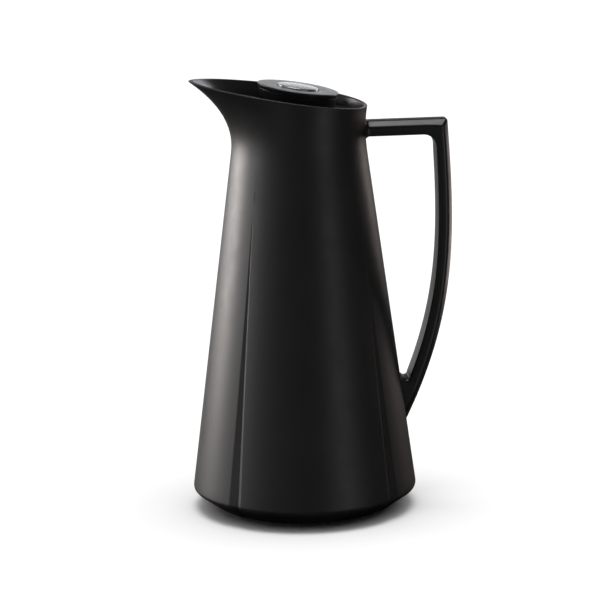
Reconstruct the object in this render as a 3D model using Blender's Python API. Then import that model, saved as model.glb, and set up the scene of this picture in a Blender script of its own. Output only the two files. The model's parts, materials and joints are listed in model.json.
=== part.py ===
"""Insulated one-litre serving jug: tapered casing, spout, loop handle, glass flask and push-button stopper.

Frame: +Z up, origin on the table under the jug's axis, handle towards +X, spout towards -X.
Lengths below are millimetres, angles are degrees; METRES turns them into Blender's metres in one place.
"""

import math

import bmesh
import bpy
from mathutils import Matrix, Vector

METRES = 0.001
GAP = 0.3  # clearance between neighbouring solids

# Casing: a straight taper on a chamfered foot
WIDE_R, WIDE_Z = 73.4, 15.3  # widest ring of the casing
TAPER = 0.132  # radius lost per millimetre of height
CORNER_R = 3.3  # rounding between side and chamfer
CHAMFER_DEG = 35.0
FOOT_R = 59.8  # where the chamfer ends
NECK_START_Z, NECK_END_Z = 234.0, 254.0  # the taper levels off into the neck between these
WALL = 3.0
LIP = 2.2  # wall at the rim

# Rim and spout
SLOPE = 0.16  # fall of the rim and of the stopper's top from spout to handle
RIM_Z = 273.6  # rim plane at the axis
SPOUT_REACH, RIM_BACK, RIM_HALF = 71.2, 44.7, 44.5
SPOUT_POINT = 1.82  # superellipse exponent of the spout half, 2 is an ellipse
FLARE_Z = 236.0  # the spout and the rim start to flare here
FLARE_POWER, FLARE_VARIES = 3.2, 0.8  # a gentle curve at the spout, a late one at the handle

# Four tapered grooves between the panels
GROOVE_WIDTH, GROOVE_DEPTH, GROOVE_TOP = 9.6, 1.6, 212.0
GROOVE_LEAST = 0.4  # width left where a groove has run out
GROOVE_SKEW = 0.4  # the floor's place between the middle and the lip on the front or back panel

# Shelf inside the neck, and the opening in the foot
SHELF_R, SHELF_TOP, SHELF_BOTTOM = 37.8, 261.0, 258.6
FOOT_BORE, FOOT_LIP_TOP = 57.5, 9.3
LUGS, LUG_DEG, LUG_R = 4, 16.0, 59.7

# Funnel insert and throat
THROAT_R, THROAT_BOTTOM, THROAT_WALL = 20.8, 228.5, 2.6

# Glass flask
GLASS = 1.5
FLASK_R, FLASK_MOUTH_R, FLASK_TOP = 52.0, 25.0, 225.4
FLASK_BORE = 19.6
VACUUM = 3.5

# Stopper
TOP_Z = 278.8  # stopper's sloping top at the axis
DISC_R, DISC_T = 26.4, 2.6
SIDE_TAPER = 0.268  # radius lost per millimetre below the disc
STOPPER_R, PLUG_R, PLUG_BOTTOM = 21.6, 19.8, 230.0
BUTTON_R, BUTTON_HOLE = 13.2, 13.6
BUTTON_PROUD = 0.8
STEM_R = 2.5
SEAT_R = 13.8

# Handle
ARM_BOTTOM, ARM_TOP = 246.0, 255.6
HANDLE_DEPTH = 18.0
INNER_BEVEL, BEVEL_FROM, OUTER_WIDTH = 1.0, 0.65, 9.0  # section: small inner bevels, wide outer ones
BOW = ((97.1, 252.0), (101.9, 177.0), (102.4, 126.5), (68.2, 56.0))  # Bezier of the outer edge
BOW_T, BOW_SWELL = 9.1, 1.0  # thickness at the top, and what it gains by the bottom

COLUMNS_PER_PANEL = 11
ROUND, SMALL_ROUND = 48, 24


# ---------------------------------------------------------------- materials


def material(name, colour, roughness, metallic=0.0):
    made = bpy.data.materials.new(name)
    made.use_nodes = True
    shader = made.node_tree.nodes["Principled BSDF"]
    shader.inputs["Base Color"].default_value = (*colour, 1.0)
    shader.inputs["Roughness"].default_value = roughness
    shader.inputs["Metallic"].default_value = metallic
    return made


def materials():
    return {
        "casing": material("casing_plastic", (0.018, 0.017, 0.017), 0.38),
        "inner": material("inner_plastic", (0.022, 0.022, 0.024), 0.45),
        "lid": material("lid_plastic", (0.035, 0.035, 0.038), 0.35),
        "steel": material("polished_steel", (0.72, 0.73, 0.75), 0.22, 1.0),
        "glass": material("silvered_glass", (0.78, 0.80, 0.82), 0.08, 0.9),
        "rubber": material("black_rubber", (0.02, 0.02, 0.02), 0.8),
        "silicone": material("grey_silicone", (0.45, 0.45, 0.44), 0.6),
    }


# ---------------------------------------------------------------- building blocks


def add_object(name, mesh_data, look):
    mesh = bpy.data.meshes.new(name)
    bmesh.ops.recalc_face_normals(mesh_data, faces=mesh_data.faces[:])
    mesh_data.to_mesh(mesh)
    mesh_data.free()
    mesh.transform(Matrix.Scale(METRES, 4))
    mesh.shade_smooth()
    mesh.set_sharp_from_angle(angle=math.radians(32))
    made = bpy.data.objects.new(name, mesh)
    made.data.materials.append(look)
    bpy.context.scene.collection.objects.link(made)
    return made


def turned_mesh(outline, segments):
    """A closed outline of (radius, z) spun round the Z axis, which closes it if it starts and ends there."""
    bm = bmesh.new()
    verts = [bm.verts.new((r, 0.0, z)) for r, z in outline]
    pairs = list(zip(verts, verts[1:]))
    if outline[0][0] > 0 or outline[-1][0] > 0:
        pairs.append((verts[-1], verts[0]))
    edges = [bm.edges.new(pair) for pair in pairs]
    bmesh.ops.spin(
        bm,
        geom=verts + edges,
        axis=(0, 0, 1),
        cent=(0, 0, 0),
        steps=segments,
        angle=2 * math.pi,
        use_merge=True,
    )
    bmesh.ops.remove_doubles(bm, verts=bm.verts[:], dist=0.001)
    return bm


def tilted(bm, flat_below, full_above):
    """Shears a mesh along the rim's slope: not at all below one height, fully above the other."""
    for v in bm.verts:
        share = (v.co.z - flat_below) / (full_above - flat_below)
        v.co.z -= SLOPE * v.co.x * min(1.0, max(0.0, share))
    return bm


def turned(name, outline, look, segments=ROUND):
    return add_object(name, turned_mesh(outline, segments), look)


def cylinder_between(bm, start, end, radius, segments=16):
    start, end = Vector(start), Vector(end)
    turn = (end - start).to_track_quat("Z", "Y").to_matrix().to_4x4()
    place = Matrix.Translation((start + end) / 2) @ turn
    bmesh.ops.create_cone(
        bm,
        cap_ends=True,
        segments=segments,
        radius1=radius,
        radius2=radius,
        depth=(end - start).length,
        matrix=place,
    )


def helper(name, bm):
    """A cutter, which is never a part."""
    made = add_object(name, bm, None)
    made.hide_render = True
    made.display_type = "WIRE"
    return made


def cut(target, cutter):
    modifier = target.modifiers.new("cut_" + cutter.name, "BOOLEAN")
    modifier.operation = "DIFFERENCE"
    modifier.object = cutter


def join(target, other):
    modifier = target.modifiers.new("join_" + other.name, "BOOLEAN")
    modifier.operation = "UNION"
    modifier.object = other


# ---------------------------------------------------------------- casing surface


def rim_radius(angle):
    """Plan radius of the rim: round behind, a pointed superellipse towards the spout."""
    c, s = abs(math.cos(angle)), abs(math.sin(angle))
    if math.cos(angle) < 0:
        n = SPOUT_POINT
        return ((c / SPOUT_REACH) ** n + (s / RIM_HALF) ** n) ** (-1 / n)
    return ((c / RIM_BACK) ** 2 + (s / RIM_HALF) ** 2) ** -0.5


def rim_height(angle):
    return RIM_Z - SLOPE * rim_radius(angle) * math.cos(angle)


def body_radius(z):
    """Round casing radius: straight taper that levels off at the neck."""
    straight = WIDE_R - TAPER * (min(z, NECK_START_Z) - WIDE_Z)
    past = min(max(z - NECK_START_Z, 0.0), NECK_END_Z - NECK_START_Z)
    return straight - TAPER * (past - past * past / (2 * (NECK_END_Z - NECK_START_Z)))


def casing_radius(angle, z):
    """Casing radius at this height, with the flare that opens into the rim and the spout."""
    top = rim_height(angle)
    rise = min(max((z - FLARE_Z) / (top - FLARE_Z), 0.0), 1.0)
    power = FLARE_POWER + FLARE_VARIES * math.cos(angle)
    return body_radius(z) + (rim_radius(angle) - body_radius(top)) * rise**power


def casing_inner_radius(angle, z, wall=WALL):
    """Inside of the wall. Its thickness is square to the surface, so it is wider where the spout leans."""
    step = 0.5
    lean = (casing_radius(angle, z) - casing_radius(angle, z - step)) / step
    return casing_radius(angle, z) - wall * math.sqrt(1 + lean * lean)


def groove_share(z):
    return min(max((GROOVE_TOP - z) / (GROOVE_TOP - WIDE_Z), 0.0), 1.0)


def column_angles(z, radius):
    """(angle, groove depth) of each column at this height. Each groove is a floor column between two lips."""
    half = max(GROOVE_WIDTH * groove_share(z), GROOVE_LEAST) / 2 / radius
    depth = GROOVE_DEPTH * groove_share(z)
    columns = []
    for panel in range(4):
        centre = math.pi / 4 + panel * math.pi / 2
        floor = centre + GROOVE_SKEW * half * (-1) ** panel
        columns += [(centre - half, 0.0), (floor, depth), (centre + half, 0.0)]
        span = math.pi / 2 - 2 * half
        for k in range(1, COLUMNS_PER_PANEL + 1):
            columns.append((centre + half + span * k / (COLUMNS_PER_PANEL + 1), 0.0))
    return columns


def ring_points(radius_at, height_at, z_columns, grooved=False):
    points = []
    for angle, depth in column_angles(z_columns, WIDE_R):
        r = radius_at(angle) - (depth if grooved else 0.0)
        points.append((r * math.cos(angle), r * math.sin(angle), height_at(angle)))
    return points


def level_ring(radius, z, grooved=False):
    return ring_points(lambda angle: radius, lambda angle: z, z, grooved)


def flare_ring(share, start_z, wall=None):
    """A ring a share of the way from start_z up to the rim, outside or, with a wall, inside."""

    def height(angle):
        return start_z + share * (rim_height(angle) - start_z)

    def radius(angle):
        if wall is None:
            return casing_radius(angle, height(angle))
        return casing_inner_radius(angle, height(angle), wall)

    return ring_points(radius, height, GROOVE_TOP)


def loft(rings, close):
    bm = bmesh.new()
    grid = [[bm.verts.new(p) for p in ring] for ring in rings]
    pairs = list(zip(grid, grid[1:])) + ([(grid[-1], grid[0])] if close else [])
    for low, high in pairs:
        for k in range(len(low)):
            nxt = (k + 1) % len(low)
            bm.faces.new((low[k], low[nxt], high[nxt], high[k]))
    if not close:
        bm.faces.new(grid[0][::-1])
        bm.faces.new(grid[-1])
    return bm


def foot_corner():
    """(radius, z) points of the rounding between chamfer and side, from the chamfer up."""
    lean = math.atan(TAPER)
    centre = (WIDE_R - CORNER_R * math.cos(lean), WIDE_Z - CORNER_R * math.sin(lean))
    low = -math.radians(90 - CHAMFER_DEG)
    turns = [low + (lean - low) * k / 3 for k in range(4)]
    return [(centre[0] + CORNER_R * math.cos(a), centre[1] + CORNER_R * math.sin(a)) for a in turns]


def foot_edge_z():
    r, z = foot_corner()[0]
    return z - (r - FOOT_R) * math.tan(math.radians(CHAMFER_DEG))


def casing_rings():
    """Rings of the casing wall, up the outside, over the rim and down the inside."""
    side_z = (60.0, 110.0, 160.0, 200.0, GROOVE_TOP, 226.0, NECK_START_Z)
    rings = [level_ring(FOOT_R, foot_edge_z(), grooved=True)]
    rings += [level_ring(r, z, grooved=True) for r, z in foot_corner()]
    rings += [level_ring(body_radius(z), z, grooved=z < GROOVE_TOP) for z in side_z]
    rings += [flare_ring(s, NECK_START_Z) for s in (0.2, 0.38, 0.54, 0.68, 0.8, 0.91, 1.0)]
    rings += [flare_ring(s, SHELF_TOP, LIP if s == 1.0 else WALL) for s in (1.0, 0.8, 0.6, 0.35)]
    rings.append(
        ring_points(lambda angle: casing_inner_radius(angle, SHELF_TOP), lambda angle: SHELF_TOP, GROOVE_TOP)
    )
    rings += [level_ring(SHELF_R, SHELF_TOP), level_ring(SHELF_R, SHELF_BOTTOM)]
    inside_z = (SHELF_BOTTOM, 250.0, 242.0, NECK_START_Z, 120.0, WIDE_Z + 1.0)
    rings += [level_ring(body_radius(z) - WALL, z) for z in inside_z]
    slant = WALL / math.cos(math.radians(CHAMFER_DEG))
    chamfer_inside_r = FOOT_R + (FOOT_LIP_TOP - slant - foot_edge_z()) / math.tan(math.radians(CHAMFER_DEG))
    rings.append(level_ring(chamfer_inside_r, FOOT_LIP_TOP))
    rings += [level_ring(FOOT_BORE, FOOT_LIP_TOP), level_ring(FOOT_BORE, foot_edge_z())]
    return rings


def casing_skin(grow):
    """Solid with the casing's outside surface and a clearance, which trims what butts against the casing."""
    side_z = (30.0, 60.0, 110.0, 160.0, 200.0, 226.0, NECK_START_Z)
    rings = [level_ring(body_radius(z) + grow, z) for z in side_z]
    stretch = 1 + grow / SHELF_R
    for share in (0.2, 0.38, 0.54, 0.68, 0.8, 0.91):
        rings.append([(x * stretch, y * stretch, z) for x, y, z in flare_ring(share, NECK_START_Z)])
    return loft(rings, close=False)


# ---------------------------------------------------------------- handle screws

# Each: (point on the casing's inside wall, direction out of the jug, shank radius, head radius, length)
def handle_screws():
    lean = math.atan(TAPER)
    arm_z, arm_y, root_z = (ARM_BOTTOM + ARM_TOP) / 2, 4.6, 73.0
    arm_x = math.sqrt((body_radius(arm_z) - WALL) ** 2 - arm_y**2)
    root_x = body_radius(root_z) - WALL
    return {
        "handle_screw_left": ((arm_x, arm_y, arm_z), (1, 0, 0), 1.5, 2.7, 14.0),
        "handle_screw_right": ((arm_x, -arm_y, arm_z), (1, 0, 0), 1.5, 2.7, 14.0),
        "handle_screw_lower": ((root_x, 0.0, root_z), (math.cos(lean), 0, math.sin(lean)), 2.0, 3.8, 10.0),
    }


def screw_holes(clearance):
    bm = bmesh.new()
    for point, direction, shank, _, length in handle_screws().values():
        start, along = Vector(point), Vector(direction)
        cylinder_between(bm, start - along * 6, start + along * (length + 1), shank + clearance)
    return bm


def screw(name, point, direction, shank, head, length, look):
    """Pan-head screw whose head bears on the inside of the casing."""
    seat, thick = 0.45, head * 0.75
    outline = [
        (0.0, -seat - thick),
        (head * 0.8, -seat - thick),
        (head, -seat - thick * 0.6),
        (head, -seat),
        (shank, -seat),
        (shank, length - shank),
        (0.0, length),
    ]
    made = turned(name, outline, look, 16)
    turn = Vector(direction).to_track_quat("Z", "Y").to_matrix().to_4x4()
    made.data.transform(turn)
    made.location = Vector(point) * METRES
    return made


# ---------------------------------------------------------------- handle


def bow_point(t):
    a, b, c, d = (Vector(p) for p in BOW)
    return a * (1 - t) ** 3 + b * 3 * t * (1 - t) ** 2 + c * 3 * t * t * (1 - t) + d * t**3


def bow_inner(t):
    along = (bow_point(t + 0.01) - bow_point(t - 0.01)).normalized()
    inward = Vector((along.y, -along.x))
    return bow_point(t) + inward * (BOW_T + BOW_SWELL * t)


def arm_stations():
    """(inner point, outer point, flare) along the straight arm, flared into the casing at its root."""
    flares = ((40.0, 3.0), (43.8, 2.0), (44.6, 1.0), (45.8, 0.35), (47.5, 0.0), (66.0, 0.0))
    return [((x, ARM_BOTTOM), (x, ARM_TOP), grow) for x, grow in flares]


def corner_stations():
    """The inner edge rounds the corner on an arc while the outer edge turns on a tight one."""
    radius, join_t = 8.4, 0.075
    end = bow_inner(join_t)
    centre = (end.x - radius, ARM_BOTTOM - radius)
    start_x, tip, tight = centre[0] + 2.5, BOW[0][0] - 0.1, 1.5
    turn = [math.radians(a) for a in (0, 24, 42, 48, 66, 90)]
    inner = [(centre[0] + radius * math.sin(a), centre[1] + radius * math.cos(a)) for a in turn]
    outer = [
        (start_x, ARM_TOP),
        ((start_x + tip) / 2, ARM_TOP),
        (tip - tight, ARM_TOP),
        (tip - 0.3 * tight, ARM_TOP - 0.3 * tight),
        (tip, ARM_TOP - tight),
        tuple(bow_point(join_t)),
    ]
    return [(i, o, 0.0) for i, o in zip(inner, outer)]


def bow_stations():
    steps = [0.11, 0.2, 0.29, 0.38, 0.47, 0.55, 0.63, 0.7, 0.77, 0.83]
    return [(tuple(bow_inner(t)), tuple(bow_point(t)), 0.0) for t in steps]


def root_stations():
    """Below the gap the inner edge rounds the gap's end, then both edges run into the casing."""
    radius = 2.4
    edge = bow_inner(0.873)
    centre = (edge.x - radius, edge.y)
    turn = [math.radians(a) for a in (0, -45, -90, -150)]
    inner = [(centre[0] + radius * math.cos(a), centre[1] + radius * math.sin(a)) for a in turn]
    inner.append((58.0, 80.0))
    outer = [tuple(bow_point(t)) for t in (0.873, 0.92, 0.96, 1.0)]
    outer.append((63.5, 46.5))
    return [(i, o, 0.0) for i, o in zip(inner, outer)]


def section(inner, outer, grow):
    """Eight-sided section from the inner edge to the outer one, with the wide bevels on the outer side."""
    inner, outer = Vector(inner), Vector(outer)
    across = outer - inner
    half = HANDLE_DEPTH / 2
    places = (
        (0.0, half - INNER_BEVEL),
        (INNER_BEVEL / across.length, half),
        (BEVEL_FROM, half),
        (1.0, OUTER_WIDTH / 2),
    )
    points = []
    for share, y in places + tuple((s, -y) for s, y in reversed(places)):
        p = inner + across * share + across.normalized() * grow * (2 * share - 1)
        points.append((p.x, y * (1 + grow / half), p.y))
    return points


def build_handle(look, skin, holes):
    stations = arm_stations() + corner_stations() + bow_stations() + root_stations()
    handle = add_object("handle", loft([section(*s) for s in stations], close=False), look)
    cut(handle, skin)
    cut(handle, holes)
    return handle


# ---------------------------------------------------------------- casing and foot


def lug_boxes(r_low, r_high, z_low, z_high, degrees, offset_degrees):
    """Four curved blocks between two radii and two heights."""
    bm = bmesh.new()
    for k in range(LUGS):
        middle = math.radians(offset_degrees + 360 / LUGS * k)
        turns = [middle + math.radians(degrees) * (j / 4 - 0.5) for j in range(5)]
        arcs = [
            [bm.verts.new((r * math.cos(a), r * math.sin(a), z)) for a in turns]
            for r, z in ((r_low, z_low), (r_high, z_low), (r_high, z_high), (r_low, z_high))
        ]
        for i, arc in enumerate(arcs):
            other = arcs[(i + 1) % 4]
            for j in range(4):
                bm.faces.new((arc[j], arc[j + 1], other[j + 1], other[j]))
        bm.faces.new([arc[0] for arc in arcs])
        bm.faces.new([arc[-1] for arc in arcs])
    return bm


def build_casing(look, holes):
    casing = add_object("casing_shell", loft(casing_rings(), close=True), look)
    cut(casing, holes)
    notches = lug_boxes(FOOT_BORE - 2, LUG_R + 0.5, 1.0, FOOT_LIP_TOP + 2, LUG_DEG + 3, 0.0)
    cut(casing, helper("lug_notches", notches))


def build_foot(looks):
    """Bayonet base cover, its seal, the cushion under the flask and the non-slip pad."""
    pad_r, pad_t, dimple_r, dimple_at = 50.0, 2.6, 9.0, 29.0
    rim, floor, top = FOOT_BORE - 0.4, 6.0, 12.0
    seal_z, seal_half = 6.2, 1.1
    bottom = 1.5
    cover = turned(
        "base_cover",
        [
            (0.0, pad_t + GAP),
            (pad_r + GAP, pad_t + GAP),
            (pad_r + GAP, bottom),
            (rim - 3.0, bottom),
            (rim, foot_edge_z() + 0.2),
            (rim, seal_z - seal_half - GAP),
            (rim - 1.9, seal_z - seal_half - GAP),
            (rim - 1.9, seal_z + seal_half + GAP),
            (rim, seal_z + seal_half + GAP),
            (rim, top),
            (rim - 3.5, top),
            (rim - 3.5, floor),
            (37.0, floor),
            (37.0, floor + 2.5),
            (36.5, floor + 2.5),
            (36.5, floor),
            (0.0, floor),
        ],
        looks["inner"],
    )
    lugs = helper("cover_lugs", lug_boxes(rim - 1.5, LUG_R, FOOT_LIP_TOP + GAP, top, LUG_DEG, 45.0))
    join(cover, lugs)
    dimples, pad_holes = bmesh.new(), bmesh.new()
    for side in (-1, 1):
        y = side * dimple_at
        cylinder_between(dimples, (0, y, -2), (0, y, floor - 2.4), dimple_r, 24)
        cylinder_between(pad_holes, (0, y, -2), (0, y, pad_t + 2), dimple_r, 24)
    cut(cover, helper("grip_dimples", dimples))

    outline = [(0, 0), (pad_r - 0.6, 0), (pad_r, 0.6), (pad_r, pad_t), (0, pad_t)]
    pad = turned("foot_pad", outline, looks["rubber"])
    cut(pad, helper("grip_holes", pad_holes))

    ring = [(rim - 1.6, seal_z - seal_half), (rim - 0.4, seal_z - seal_half), (rim + 0.1, seal_z - 0.4)]
    ring += [(rim + 0.1, seal_z + 0.4), (rim - 0.4, seal_z + seal_half), (rim - 1.6, seal_z + seal_half)]
    turned("base_seal", ring, looks["silicone"])

    cushion = [(20.0, floor + GAP), (36.0, floor + GAP), (36.0, flask_outer(36.0) - GAP)]
    cushion += [(r, flask_outer(r) - GAP) for r in (30.0, 25.0, 20.0)]
    turned("flask_cushion", cushion, looks["rubber"], 32)


# ---------------------------------------------------------------- glass flask

# Outside of the outer glass, from the bottom up: dished base, straight side, long shoulder, neck
FLASK_BASE = ((8.0, 16.8), (20.0, 17.6), (30.0, 19.4), (38.0, 23.0), (46.0, 29.5), (50.6, 38.0))
FLASK_SIDE = ((FLASK_R, 48.0), (FLASK_R, 138.0))
FLASK_SHOULDER = ((51.0, 155.0), (47.2, 172.0), (40.5, 188.0), (32.5, 201.0), (27.2, 209.5), (25.2, 216.0))


def flask_outer(radius):
    """Height of the flask's dished base at a radius."""
    for (r0, z0), (r1, z1) in zip(FLASK_BASE, FLASK_BASE[1:]):
        if radius <= r1:
            return z0 + (z1 - z0) * (radius - r0) / (r1 - r0)
    return FLASK_SIDE[0][1]


def inset(outline, distance):
    """Moves an outline of (radius, z), given from the bottom up, square to itself towards the axis."""
    moved = []
    for k, (r, z) in enumerate(outline):
        before, after = outline[max(k - 1, 0)], outline[min(k + 1, len(outline) - 1)]
        along = Vector((after[0] - before[0], after[1] - before[1])).normalized()
        moved.append((r - along.y * distance, z + along.x * distance))
    return moved


def build_flask(looks):
    walls = list(FLASK_BASE + FLASK_SIDE + FLASK_SHOULDER)
    lip_z = FLASK_TOP - GLASS
    outer_skin = walls + [(FLASK_MOUTH_R, lip_z - GAP)]
    outer_inside = inset(outer_skin, GLASS)[:-1] + [(FLASK_MOUTH_R - GLASS, lip_z - GAP)]
    tip = [(0.0, 10.6), (1.6, 11.2), (2.6, 14.0), (4.0, 16.0)]  # where the pump-down tube was sealed off
    turned(
        "flask_outer_glass",
        tip + outer_skin + outer_inside[::-1] + [(0.0, FLASK_BASE[0][1] + GLASS)],
        looks["glass"],
        40,
    )
    inner_skin = inset(walls, VACUUM + GLASS)
    inner_inside = inset(walls, VACUUM + 2 * GLASS)
    neck_r = FLASK_BORE + GLASS
    inner_skin = [(min(max(r, neck_r), FLASK_R), z) if z > 190 else (r, z) for r, z in inner_skin]
    inner_inside = [(max(r, FLASK_BORE), z) if z > 190 else (r, z) for r, z in inner_inside]
    outline = [(0.0, inner_skin[0][1])] + inner_skin
    outline += [(neck_r, lip_z), (FLASK_MOUTH_R, lip_z), (FLASK_MOUTH_R, FLASK_TOP), (FLASK_BORE, FLASK_TOP)]
    outline += inner_inside[::-1] + [(0.0, inner_inside[0][1])]
    turned("flask_inner_glass", outline, looks["glass"], 40)

    for k in range(3):
        build_spacer("flask_spacer_%d" % (k + 1), k * 2 * math.pi / 3, looks["silicone"])


def build_spacer(name, angle, look):
    """Pad that keeps the two glass walls apart near the base."""
    r, half, z, high = FLASK_R - GLASS - GAP, 4.0, 56.0, 9.0
    bm = bmesh.new()
    bmesh.ops.create_cube(bm, size=1.0)
    bmesh.ops.scale(bm, vec=(VACUUM - 2 * GAP - 0.5, 2 * half, high), verts=bm.verts[:])
    bmesh.ops.translate(bm, vec=(r - (VACUUM - 0.5) / 2, 0, z), verts=bm.verts[:])
    bmesh.ops.rotate(bm, cent=(0, 0, 0), matrix=Matrix.Rotation(angle, 3, "Z"), verts=bm.verts[:])
    return add_object(name, bm, look)


# ---------------------------------------------------------------- neck


def build_neck(looks):
    """Funnel insert that hangs under the casing's shelf, its seal, and the gasket on the flask's mouth."""
    collar, flange_r, flange_top, flange_t = SHELF_R - GAP, 40.0, 257.0, 2.4
    outer = THROAT_R + THROAT_WALL
    turned(
        "funnel_insert",
        [
            (collar, flange_top),
            (collar, SHELF_TOP),
            (collar - 2.0, SHELF_TOP),
            (25.0, 252.4),
            (22.6, 250.6),
            (THROAT_R, 248.8),
            (THROAT_R, THROAT_BOTTOM),
            (outer, THROAT_BOTTOM),
            (outer, 247.6),
            (25.6, 250.0),
            (collar - 2.4, flange_top - flange_t),
            (flange_r, flange_top - flange_t),
            (flange_r, flange_top),
        ],
        looks["inner"],
    )
    low, high = flange_top + GAP, SHELF_BOTTOM - GAP
    inner_r, outer_r = collar + 0.6, flange_r - 0.2
    ring = [(inner_r, low), (outer_r, low), (outer_r, high), (inner_r, high)]
    turned("funnel_seal", ring, looks["silicone"])
    seat, skirt = FLASK_TOP + GAP, FLASK_MOUTH_R + 0.4
    turned(
        "flask_gasket",
        [
            (FLASK_BORE + 0.4, seat),
            (skirt, seat),
            (skirt, seat - 6.5),
            (skirt + 1.8, seat - 6.5),
            (skirt + 1.8, THROAT_BOTTOM + 1.8),
            (outer + 0.4, THROAT_BOTTOM + 1.8),
            (outer + 0.4, THROAT_BOTTOM - GAP),
            (FLASK_BORE + 0.4, THROAT_BOTTOM - GAP),
        ],
        looks["silicone"],
        40,
    )


# ---------------------------------------------------------------- stopper

TUBE_BOTTOM = 270.0  # the button's guide tube ends level here
WET_TOP, GUIDE_TOP = 259.5, 261.2  # the partition between the wet and dry chambers


def stopper_wall(depth):
    """Outside radius at a depth below the sloping top."""
    return max(DISC_R - SIDE_TAPER * depth, STOPPER_R)


def build_stopper_body(looks):
    wall, top = 1.8, TOP_Z - DISC_T - GAP
    straight = TOP_Z - (DISC_R - STOPPER_R) / SIDE_TAPER  # the taper ends here
    shoulder, groove_low, groove_high = 250.9, 236.5, 243.5
    bore, groove_r = 17.0, 18.4
    outline = [
        (stopper_wall(DISC_T + GAP), top),
        (STOPPER_R, straight),
        (STOPPER_R, 258.6),
        (STOPPER_R, 252.8),
        (STOPPER_R, shoulder),
        (PLUG_R, shoulder - 1.5),
        (PLUG_R, groove_high),
        (groove_r, groove_high),
        (groove_r, groove_low),
        (PLUG_R, groove_low),
        (PLUG_R, PLUG_BOTTOM + 0.8),
        (PLUG_R - 0.8, PLUG_BOTTOM),
        (SEAT_R, PLUG_BOTTOM),
        (SEAT_R, PLUG_BOTTOM + 1.8),
        (bore, PLUG_BOTTOM + 3.4),
        (bore, shoulder),
        (STOPPER_R - 2.0, shoulder + 2.0),
        (STOPPER_R - 2.0, WET_TOP - 1.1),
        (STOPPER_R - 3.4, WET_TOP - 0.8),
        (STOPPER_R - 3.4, WET_TOP - GAP),
        (STOPPER_R - 2.0, WET_TOP - GAP),
        (STOPPER_R - 2.0, straight),
        (stopper_wall(DISC_T + GAP) - wall, top),
    ]
    body = add_object("stopper_body", tilted(turned_mesh(outline, ROUND), 262.0, 272.0), looks["lid"])
    ports = bmesh.new()
    for k in range(6):
        angle = k * math.pi / 3
        bar = bmesh.ops.create_cube(ports, size=1.0)["verts"]
        bmesh.ops.scale(ports, vec=(8.0, 13.0, 4.6), verts=bar)
        bmesh.ops.translate(ports, vec=(STOPPER_R, 0, 255.6), verts=bar)
        bmesh.ops.rotate(ports, cent=(0, 0, 0), matrix=Matrix.Rotation(angle, 3, "Z"), verts=bar)
    cut(body, helper("pouring_ports", ports))


def build_stopper_fittings(looks):
    """Sloping top plate with the button's guide tube, the partition, and the seals that go with them."""
    under, snap = TOP_Z - DISC_T, TOP_Z - 5.8
    tube_r = BUTTON_HOLE + 1.4
    plate = [
        (BUTTON_HOLE, TOP_Z),
        (DISC_R - 0.5, TOP_Z),
        (DISC_R, TOP_Z - 0.5),
        (stopper_wall(DISC_T), under),
        (23.3, under),
        (22.5, snap),
        (21.1, snap),
        (21.9, under),
        (tube_r, under),
        (tube_r, TUBE_BOTTOM),
        (BUTTON_HOLE, TUBE_BOTTOM),
    ]
    add_object("stopper_top", tilted(turned_mesh(plate, ROUND), TUBE_BOTTOM, 272.5), looks["lid"])

    hub, hub_low, hub_top, pocket = 5.2, 255.0, 266.0, 4.5
    rim = STOPPER_R - 2.3
    turned(
        "stem_guide",
        [
            (STEM_R + 0.4, 258.2),
            (pocket, 258.2),
            (pocket, hub_low),
            (hub + 1.0, hub_low),
            (hub + 1.0, WET_TOP),
            (rim, WET_TOP),
            (rim, GUIDE_TOP),
            (hub, GUIDE_TOP),
            (hub, hub_top),
            (STEM_R + 0.4, hub_top),
        ],
        looks["inner"],
        32,
    )
    ring_r, ring_z = 3.5, 256.7
    turns = [k * math.pi / 4 for k in range(8)]
    ring = [(ring_r + 0.7 * math.cos(a), ring_z + 1.1 * math.sin(a)) for a in turns]
    turned("stem_seal", ring, looks["silicone"], SMALL_ROUND)

    low, high, inner_r, valley, crest = 236.8, 243.2, 18.7, 19.8, 20.5
    lips = [(inner_r, low), (valley, low)]
    for k in range(3):
        z = low + 0.9 + 2.1 * k
        lips += [(crest, z), (valley, z + 1.0)]
    turned("stopper_seal", lips + [(valley, high), (inner_r, high)], looks["silicone"])


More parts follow.
